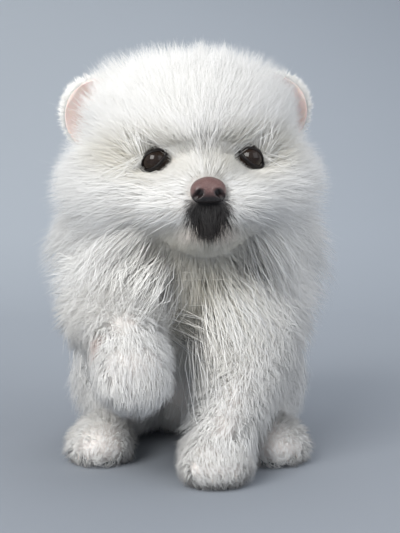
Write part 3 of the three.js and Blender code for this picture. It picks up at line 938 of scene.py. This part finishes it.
def spindle(rings):
    """The faces of one tuft, its points on its colour patch, and how far along each of them is."""
    faces = [(0, 2, 1), (0, 3, 2), (0, 1, 3)]
    for ring in range(rings - 1):
        low = 1 + 3 * ring
        for a, b in ((low, low + 1), (low + 1, low + 2), (low + 2, low)):
            faces += [(a, b, b + 3), (a, b + 3, a + 3)]
    last, tip = 3 * rings - 2, 3 * rings + 1
    faces += [(last, last + 1, tip), (last + 1, last + 2, tip), (last + 2, last, tip)]
    along = [STEPS[rings][0]] + [t for t in STEPS[rings][1:-1] for _ in range(3)] + [1.0]
    across = [0.0] + list(ACROSS) * rings + [0.0]
    patch = np.stack([across, 2 * np.array(along) - 1], axis=1) * PATCH_HALF
    return np.array(faces), patch, np.array(along)


def growth(roots, rise, lie, coat, stand, lay, longest):
    """How long each tuft is for its tip to lie on the coat's outline."""
    way = stand[:, None] * rise + lay[:, None] * lie
    short, long = np.zeros(len(roots)), np.full(len(roots), longest)
    for _ in range(12):
        mid = (short + long) / 2
        inside_coat = coat(roots + way * mid[:, None]) < 0
        short, long = np.where(inside_coat, mid, short), np.where(inside_coat, long, mid)
    return (short + long) / 2


for rings in STEPS:
    print("a tuft with", rings, "rings has", len(spindle(rings)[0]), "triangles")


# %% [markdown]
# ## Locks
# Soft hair clumps. Some tufts are leaders, and each of the others leans its tip to that of the nearest
# leader. The pull is stronger on the body than on the velvet of the forehead.

# %% Locks
def gathered(points, tips, random, each, pull):
    """Draws the tips of neighbouring tufts together into locks."""
    leaders = random.permutation(len(points))[: max(1, len(points) // each)]
    nearest = np.empty(len(points), int)
    for start in range(0, len(points), 2000):
        part = points[start:start + 2000]
        far = ((part[:, None, :] - points[None, leaders, :]) ** 2).sum(axis=2)
        nearest[start:start + 2000] = leaders[np.argmin(far, axis=1)]
    offset = (tips - points) - (tips[nearest] - points[nearest])
    gap = points - points[nearest]
    return -pull[:, None] * (0.6 * gap + 0.8 * offset), nearest


trial = np.random.default_rng(1).random((40, 3))
leaned = gathered(trial, 2 * trial, np.random.default_rng(2), 10, np.ones(40))[1]
print("40 tufts gather round", len(set(leaned)), "leaders")


# %% [markdown]
# ## Joining the tufts
# A quarter of a million separate objects would be far too many, so each coat is one mesh, filled straight
# from arrays. Each tuft gets its own small patch on the colour map, at its root's place on the skin. Its
# normals lean to those of the coat as a whole, which makes thin solid tufts shade like a soft mass.

# %% Joining the tufts
SOFTNESS = 0.93
THINNER = 0.25


def tuft_mesh(name, points, radii, uv, soft, marks, phase):
    """Joins all tufts of a coat in one mesh. points is tufts x steps x 3, in millimetres."""
    count, rings = len(points), points.shape[1] - 2
    each = 3 * rings + 2
    faces, patch, along = spindle(rings)
    ahead = unit(points[:, 2:] - points[:, :-2])
    side = unit(np.cross(ahead, unit(phase)[:, None, :]))
    up = np.cross(ahead, side)
    verts = np.empty((count, each, 3))
    normals = np.empty((count, each, 3))
    verts[:, 0], verts[:, -1] = points[:, 0], points[:, -1]
    normals[:, 0], normals[:, -1] = soft, soft
    for ring in range(rings):
        for k in range(3):
            turn = math.tau * k / 3
            way = math.cos(turn) * side[:, ring] + math.sin(turn) * up[:, ring]
            scale = 1.0 - THINNER * ring
            verts[:, 1 + 3 * ring + k] = points[:, ring + 1] + way * (radii * scale)[:, None]
            normals[:, 1 + 3 * ring + k] = way
    normals = unit((1 - SOFTNESS) * normals + SOFTNESS * soft[:, None, :])
    mesh = bpy.data.meshes.new(name)
    mesh.vertices.add(count * each)
    mesh.vertices.foreach_set("co", metres(verts.reshape(-1, 3)).ravel())
    faces = (faces[None] + each * np.arange(count)[:, None, None]).reshape(-1, 3)
    mesh.loops.add(faces.size)
    mesh.loops.foreach_set("vertex_index", faces.ravel())
    mesh.polygons.add(len(faces))
    mesh.polygons.foreach_set("loop_start", np.arange(0, faces.size, 3))
    mesh.polygons.foreach_set("use_smooth", np.ones(len(faces), bool))
    mesh.update(calc_edges=True)
    layer = mesh.uv_layers.new(name="OFBake")
    spread = (uv[:, None, :] + patch[None]).reshape(-1, 2)
    layer.data.foreach_set("uv", spread[faces.ravel()].ravel())
    write_marks(mesh, {key: np.repeat(np.asarray(numbers, float), each) for key, numbers in marks.items()})
    write_marks(mesh, {"along": np.tile(along, count)})
    mesh.normals_split_custom_set_from_vertices(normals.reshape(-1, 3).tolist())
    piece = bpy.data.objects.new(name, mesh)
    bpy.context.scene.collection.objects.link(piece)
    dressed(piece, fur)
    print(name, count, "tufts,", len(faces), "triangles")


print("a tuft's normals are", SOFTNESS, "the coat's")

# %% [markdown]
# ## The lie of the coat
# On the head the hair parts from the nose: up over the brow, out over the cheeks. On the body it runs down
# and back, on the legs to the feet, and on the tail up to its tip. Combing it by hand would follow the
# same flow, while a rule for each region can be read and changed.

# %% Lie
def head_lie(p):
    q = into_head(p)
    back = unit(q - (0, -62, -18))
    upward = np.clip((q[:, 2] + 4) / 18, 0, 1)
    back[:, 2] += 0.8 * upward - 0.12 * (1 - upward)
    back[:, 0] *= 1 - 0.45 * upward
    return back @ TURN.T


def body_lie(p):
    return np.stack([p[:, 0] * 0.016, np.full(len(p), 0.3), np.full(len(p), -1.0)], axis=1)


def leg_lie(leg):
    way = unit(np.array(leg["wrist"], float) - leg["elbow"]) + (0, 0, -0.5)
    return lambda p: np.tile(way, (len(p), 1))


def toward(x, y, z):
    return lambda p: np.tile((x, y, z), (len(p), 1))


def paw_lie(p):
    ways = [np.array(paw["ahead"], float) + (0, 0, -0.35) for paw in PAWS.values()]
    middles = np.array([paw["middle"] for paw in PAWS.values()], float)
    mine = np.argmin(((p[:, None] - middles[None]) ** 2).sum(axis=2), axis=1)
    return np.array(ways)[mine]


print("over the nose the hair lies along", head_lie(out_of_head([(0, -45, 0)])).round(2))


# %% [markdown]
# ## The coats
# Each region of the skin has its own coat. The table says how many tufts it has, how they stand up and lie
# down, how wide they are, how many of them share a lock and how strongly it pulls. Tufts are finest and
# shortest on the face and the feet, and coarsest on back and tail. No coat has more than 200,000 triangles.

# %% The table of coats
paw_coat = blend(2, *[swollen(paw_form(paw), 5.2) for paw in PAWS.values()])
leg_and_paw = {n: blend(7, foreleg(leg, 26, 20), swollen(paw_form(PAWS[f"fore_{n}"]), 5.0))
               for n, leg in FORELEG.items()}
whole_body = blend(16, body_coat, in_head(face_coat))
thigh_lie, left_leg, right_leg = toward(0, -0.1, -1), leg_lie(FORELEG["left"]), leg_lie(FORELEG["right"])
COATS = {
    # name: how many, rings, coat, lie, stand, lay, half width, locks of, pull, longest
    "brow": (24500, 1, in_head(crown_coat), head_lie, 0.8, 0.6, 0.085, 16, 0.12, 60),
    "crown": (23000, 1, in_head(crown_coat), head_lie, 0.85, 0.55, 0.10, 18, 0.15, 70),
    "cheek_left": (20500, 1, whole_body, head_lie, 0.7, 0.7, 0.10, 24, 0.18, 80),
    "cheek_right": (20500, 1, whole_body, head_lie, 0.7, 0.7, 0.10, 24, 0.18, 80),
    "muzzle": (27000, 1, in_head(face_coat), head_lie, 0.6, 0.7, 0.075, 14, 0.12, 30),
    "nape": (6500, 2, whole_body, head_lie, 0.7, 0.7, 0.17, 22, 0.25, 80),
    "ruff": (22000, 1, whole_body, body_lie, 0.9, 0.45, 0.12, 26, 0.2, 80),
    "chest": (10000, 2, body_coat, body_lie, 0.85, 0.5, 0.12, 20, 0.25, 80),
    "back": (8500, 2, body_coat, body_lie, 0.8, 0.6, 0.16, 22, 0.25, 80),
    "thigh_left": (5500, 1, body_coat, thigh_lie, 0.65, 0.7, 0.13, 22, 0.25, 60),
    "thigh_right": (5500, 1, body_coat, thigh_lie, 0.65, 0.7, 0.13, 22, 0.25, 60),
    "foreleg_left": (10000, 1, leg_and_paw["left"], left_leg, 0.8, 0.55, 0.105, 20, 0.2, 50),
    "foreleg_right": (10000, 1, leg_and_paw["right"], right_leg, 0.8, 0.55, 0.105, 20, 0.2, 50),
    "paw_fore_left": (5000, 1, leg_and_paw["left"], paw_lie, 0.6, 0.8, 0.10, 14, 0.25, 30),
    "paw_fore_right": (6000, 1, leg_and_paw["right"], paw_lie, 0.6, 0.8, 0.10, 14, 0.25, 30),
    "paws_hind": (7000, 1, paw_coat, paw_lie, 0.7, 0.7, 0.13, 16, 0.4, 24),
    "tail": (3000, 2, tail_coat, toward(0, 0.25, 1), 0.6, 0.75, 0.17, 20, 0.3, 50),
}
ON_HEAD = ("brow", "crown", "cheek", "muzzle", "nape")
print(len(COATS), "coats with", sum(row[0] for row in COATS.values()), "tufts")


# %% [markdown]
# ## Eyes and nose stay free
# Hair grows up to the lids, but none may cross the opening of an eye or the nose. Each tuft is tried at
# several places along its length, and is left out if one of them is in front of an eye, as seen along the
# gaze or from straight ahead, or in the nose.

# %% Eyes and nose stay free
OPENING = {"half_long": 6.4, "half_tall": 2.9, "lower": 0.4, "spread": 0.03}
SEEN_FROM = ((1, EYE["toe_out"]), (-1, EYE["toe_out"]), (1, 8), (-1, 4))  # side, degrees outward


def clear_of_face(points):
    """Which tufts leave the eyes and the nose free."""
    keep = np.ones(len(points), bool)
    spans = [(points[:, i], points[:, i + 1]) for i in range(points.shape[1] - 1)]
    for q in [into_head(a + t * (b - a)) for a, b in spans for t in (0.25, 0.5, 0.75, 1.0)]:
        keep &= nose_form(q) > 0.1
        for side, toe_out in SEEN_FROM:
            gaze, sideways = gaze_of(side, toe_out)
            v = q - eye_middle(side)
            ahead = v @ gaze
            across = v - ahead[:, None] * gaze
            x, z = across @ sideways, across[:, 2]
            tilt = math.radians(side * EYE["tilt"])
            x, z = x * math.cos(tilt) - z * math.sin(tilt), x * math.sin(tilt) + z * math.cos(tilt)
            wider = 1 + np.maximum(ahead, 0) * OPENING["spread"]
            far = (x / (OPENING["half_long"] * wider)) ** 2
            far += ((z + OPENING["lower"]) / (OPENING["half_tall"] * wider)) ** 2
            keep &= ~((ahead > 0) & (far < 1))
    return keep


in_front = out_of_head([[eye_middle(1) + 9 * gaze_of(1)[0] * t for t in (0, 0.5, 1)]])
print("a tuft straight in front of an eye is kept:", bool(clear_of_face(in_front)[0]))


# %% [markdown]
# ## Combing a coat
# A tuft's path is a closed formula of how far along it one is. To it come the pull of its lock, a shared
# tousle and a little wave of its own. Tips that would stick out of the coat are drawn back, all but a
# little, since a soft outline is never sharp.

# %% Combing a coat
ROOT_DEPTH = 0.6
FLOOR_ROOM = 0.4


def combed(name, roots, facing_out, uv, seed):
    """Grows one coat from its roots and joins it in a mesh."""
    _, rings, coat, lie_of, stand, lay, half, each, pull, longest = COATS[name]
    random = np.random.default_rng(seed)
    count = len(roots)
    rise = unit(facing_out + 0.6 * outward(coat, roots))
    lie = lie_of(roots) + 0.16 * random.normal(size=(count, 3))
    lie = unit(lie - (lie * rise).sum(axis=1, keepdims=True) * rise)
    stands = stand * (1 + 0.2 * random.normal(size=count))
    lays = lay * (1 + 0.15 * random.normal(size=count))
    length = growth(roots, rise, lie, coat, stands, lays, longest)
    length = np.maximum(length * (1.04 - 0.5 * random.random(count) ** 1.8), 1.2)
    s = STEPS[rings]
    points = roots[:, None] + length[:, None, None] * (
        rise_of(s)[None, :, None] * (stands[:, None] * rise)[:, None]
        + drift_of(s)[None, :, None] * (lays[:, None] * lie)[:, None]
    )
    shift, nearest = gathered(roots, points[:, -1], random, each, pull * (0.6 + 0.8 * random.random(count)))
    points += (s ** 2)[None, :, None] * shift[:, None]
    tousle = 0.08 * length[:, None] * random.normal(size=(count, 3))[nearest]
    points += (s ** 2)[None, :, None] * tousle[:, None]
    wave = np.cross(rise, lie) * (0.07 * length * random.normal(size=count))[:, None]
    points += (np.sin(s * math.pi))[None, :, None] * wave[:, None]
    beyond = np.maximum(coat(points[:, -1]) - random.exponential(1.1, count), 0)
    points -= (s ** 2)[None, :, None] * (beyond[:, None] * outward(coat, points[:, -1]))[:, None]
    points[:, 0] -= rise * ROOT_DEPTH
    points[:, :, 2] = np.maximum(points[:, :, 2], FLOOR_ROOM)
    tip, middle = points[:, -1], points[:, 1]
    soft = unit(outward(coat, tip) + 0.3 * rise)
    keep = np.ones(count, bool)
    if name.split("_")[0] in ON_HEAD:
        keep = clear_of_face(points)
    own, shared = random.normal(0.5, 0.25, count), random.normal(0.5, 0.3, count)[nearest]
    draw = random.random(count)
    marks = {
        "tone": np.clip(0.5 * own + 0.5 * shared, 0, 1),
        # cream: partly the coat's own tint, partly painted shade under the brow and under the head
        "cream": cream_and_painted_shade_mark(tip) * (0.55 + 0.45 * draw),
        "pink": pink_mark(middle),
        "dark": (dark_mark(middle) > 0.1 + 0.7 * draw) * (0.92 + 0.08 * draw),
    }
    radii = half * (0.75 + 0.5 * random.random(count)) * np.clip(length / 8, 0.55, 1)
    phase = random.normal(size=(count, 3))
    marks = {key: numbers[keep] for key, numbers in marks.items()}
    tuft_mesh(f"coat_{name}", points[keep], radii[keep], uv[keep], soft[keep], marks, phase[keep])


# %% [markdown]
# ## Growing the coats
# Roots are spread over the triangles of a region, in proportion to their areas. A particle system would
# spread them too, but wouldn't hand over each root's place on the unwrapped skin.

# %% Growing the coats
THINNED = 1


def grown(name, seed):
    """Spreads roots over the skin's triangles of one region and combs their coat."""
    random = np.random.default_rng(seed)
    count = COATS[name][0] // THINNED
    mine = np.flatnonzero(region == name)
    pick = mine[random.choice(len(mine), count, p=areas[mine] / areas[mine].sum())]
    a, b = random.random(count), random.random(count)
    flip = a + b > 1
    a, b = np.where(flip, 1 - a, a), np.where(flip, 1 - b, b)
    weights = np.stack([1 - a - b, a, b], axis=1)[..., None]
    roots = (spots[tris[pick]] * weights).sum(axis=1)
    combed(name, roots, facing[pick], (corners[pick] * weights).sum(axis=1), seed + 50)


for index, name in enumerate(COATS):
    grown(name, 100 + index)


# %% [markdown]
# ## Hair of the ears
# The back and the rim of each ear carry short white hair, and longer hair grows over the inside from its
# root, so that only a crescent of the pink inside shows. These tufts have their own sums, because they
# grow from the ear's leaf and not from the skin.

# %% Ear hair
def ear_hair(side, seed):
    random = np.random.default_rng(seed)
    count = 4800 // THINNED
    kind = random.random(count)
    u = random.random(count) ** 0.8
    v = random.random(count) * 2 - 1
    rim = kind > 0.66
    v = np.where(rim, np.sign(v) * (1 - 0.16 * random.random(count) ** 1.5), v)
    over = rim & (random.random(count) < 0.45)
    u = np.where(over, 1 - 0.07 * random.random(count), u)
    v = np.where(over, random.random(count) * 2 - 1, v)
    inner = kind < 0.12
    u = np.where(inner, random.random(count) * 0.4, u)
    at, face, across, along = ear_points(side, u, v)
    in_front = inner | (rim & (random.random(count) < 0.6))
    back = np.where(in_front[:, None], face, -face)
    outward_rim = unit(across * (v * ~over)[:, None] + along * over[:, None] - 0.2 * face)
    out = np.where(rim[:, None], outward_rim, back)
    lie = unit(along + across * (0.5 * v)[:, None] + 0.15 * random.normal(size=(count, 3)))
    long = np.where(inner, 7, np.where(rim, 2.4, 5.0)) * (0.7 + 0.6 * random.random(count))
    s = STEPS[1]
    root = at + back * (EAR["thick"] / 2 - 0.3)
    points = root[:, None] + long[:, None, None] * (
        rise_of(s)[None, :, None] * (0.55 * out)[:, None]
        + drift_of(s)[None, :, None] * (0.75 * lie)[:, None]
    )
    uv = np.stack([0.25 + 0.5 * (side < 0) + 0.2 * v, 0.1 + 0.8 * u], axis=1)
    marks = {
        "tone": np.clip(random.normal(0.5, 0.3, count), 0, 1),
        "cream": 0.15 * random.random(count),
        "pink": np.where(inner, 0.15, 0.0),
        "dark": np.zeros(count),
    }
    radii = np.where(in_front, 0.095, 0.17)
    soft = unit(0.5 * out + 0.3 * lie + 0.7 * face + (0, 0, 0.3)) @ TURN.T
    return [out_of_head(points), radii, uv, soft, random.normal(size=(count, 3))], marks


(left, left_marks), (right, right_marks) = ear_hair(1, 301), ear_hair(-1, 302)
points, radii, uv, soft, phase = [np.concatenate(pair) for pair in zip(left, right)]
marks = {key: np.concatenate([left_marks[key], right_marks[key]]) for key in left_marks}
tuft_mesh("coat_ears", points, radii, uv, soft, marks, phase)

# %% [markdown]
# ## Whiskers
# A few long stiff hairs stand in short rows on both sides of the muzzle and bend down and back.

# %% Whiskers
random = np.random.default_rng(401)
beds = [(side, step, row) for side in (1, -1) for step in range(4) for row in range(3)]
count = len(beds)
wanted = out_of_head([(side * (9 + 3 * step), -51 + 3 * step, -24 - 2.8 * row) for side, step, row in beds])
pick = np.argmin(((wanted[:, None] - centres[None]) ** 2).sum(axis=2), axis=1)
sides = np.array([bed[0] for bed in beds])
ahead = -0.35 + 0.25 * random.random(count)
down = -0.35 + 0.3 * random.random(count)
way = unit(np.stack([sides, ahead, down], axis=1)) @ TURN.T
long = (17 + 9 * random.random(count))[:, None, None]
s = STEPS[2]
droop = (s ** 2)[None, :, None] * np.array([0, 0.16, -0.14])
points = centres[pick][:, None] + long * (s[None, :, None] * way[:, None] + droop)
white = {"tone": np.ones(count), "cream": np.zeros(count), "pink": np.zeros(count), "dark": np.zeros(count)}
roots_uv = corners[pick].mean(axis=1)
soft = unit(way + (0, 0, 0.6))
phase = random.normal(size=(count, 3))
tuft_mesh("coat_whiskers", points, np.full(count, 0.085), roots_uv, soft, white, phase)

# %% [markdown]
# ## Floor and backdrop
# A pale floor runs up behind the puppy in one sweep, so that no line crosses the picture. Its profile is a
# line of vertices that is extruded sideways. The window's light is painted into the paper: it is a little
# lighter on the window's side and at the back, and darker on the floor in front, as a wall near a window
# is, and its Object coordinates say where that is.

# %% Stage
HALF_WIDE, BEND_AT, BEND, FRONT, TOP = 2.5, 0.5, 0.7, -3.0, 3.0

bends = np.linspace(0.1, math.pi / 2, 14)
profile = [(FRONT, 0), (BEND_AT, 0)]
profile += [(BEND_AT + BEND * math.sin(a), BEND - BEND * math.cos(a)) for a in bends]
profile += [(BEND_AT + BEND, TOP)]
bm = bmesh.new()
line = [bm.verts.new((-HALF_WIDE, y, z)) for y, z in profile]
edges = [bm.edges.new(pair) for pair in zip(line, line[1:])]
swept = bmesh.ops.extrude_edge_only(bm, edges=edges)["geom"]
moving = [g for g in swept if isinstance(g, bmesh.types.BMVert)]
bmesh.ops.translate(bm, verts=moving, vec=(2 * HALF_WIDE, 0, 0))
bmesh.ops.recalc_face_normals(bm, faces=bm.faces)
floor = finished("studio_floor", bm)
paper, tree, shader = new_material("pale_paper")
where = node_of(tree, "ShaderNodeTexCoord")
tint = node_of(tree, "ShaderNodeTexNoise")
tint.inputs["Scale"].default_value = 1.2
axes = node_of(tree, "ShaderNodeSeparateXYZ")
for taker in (tint, axes):
    tree.links.new(where.outputs["Object"], taker.inputs["Vector"])


def ramp_along(axis, start, end):
    """Zero at the start and one at the end, in metres along one axis."""
    ramp = node_of(tree, "ShaderNodeMapRange")
    ramp.inputs["From Min"].default_value, ramp.inputs["From Max"].default_value = start, end
    tree.links.new(axes.outputs[axis], ramp.inputs["Value"])
    return ramp.outputs["Result"]


# Painted light and shade: the wall is lighter on the window's side and at the back, and the floor in front
# is darker.
wall_with_painted_window_light = mixed(tree, ramp_along("X", -0.45, 0.35), (0.49, 0.53, 0.575), (0.37, 0.405, 0.455))
paper_with_painted_light_and_shade = mixed(tree, ramp_along("Y", 0.0, 0.8), (0.285, 0.31, 0.35), wall_with_painted_window_light)
grained = mixed(tree, tint.outputs["Fac"], paper_with_painted_light_and_shade, (0.92, 0.92, 0.92), "MULTIPLY")
tree.links.new(grained, shader.inputs["Base Color"])
set_up(shader, Roughness=0.9)
floor.data.materials.append(paper)
print("the floor has", len(floor.data.polygons), "faces")


# %% [markdown]
# ## Light
# A big soft lamp to the upper left in front of the puppy is the window, a weaker one fills the other side,
# a third lights the outline of the coat from behind, and the world gives the room's light. A sun would
# cast hard shadows, which this soft light doesn't have.

# %% Lamps
def lamp(name, at, aim, size, power, colour):
    data = bpy.data.lights.new(name, "AREA")
    data.size = size
    data.energy = power
    data.color = colour
    light = bpy.data.objects.new(name, data)
    bpy.context.scene.collection.objects.link(light)
    light.location = at
    light.rotation_euler = (Vector(aim) - Vector(at)).to_track_quat("-Z", "Y").to_euler()
    print(name, "lamp,", power, "W")


lamp("window", (-0.5, -1.0, 0.66), (0, -0.05, 0.12), 0.7, 13, (1.0, 0.99, 0.96))
lamp("fill", (0.9, -0.7, 0.5), (0, 0, 0.12), 0.9, 3.2, (0.95, 0.97, 1.0))
lamp("back", (0.2, 0.6, 0.9), (0, 0, 0.15), 0.7, 2.5, (1.0, 1.0, 1.0))
world = bpy.data.worlds.new("room")
bpy.context.scene.world = world
world.use_nodes = True
world.node_tree.nodes["Background"].inputs["Color"].default_value = (0.86, 0.89, 0.93, 1)
world.node_tree.nodes["Background"].inputs["Strength"].default_value = 0.75
bpy.context.scene.view_settings.view_transform = "Standard"
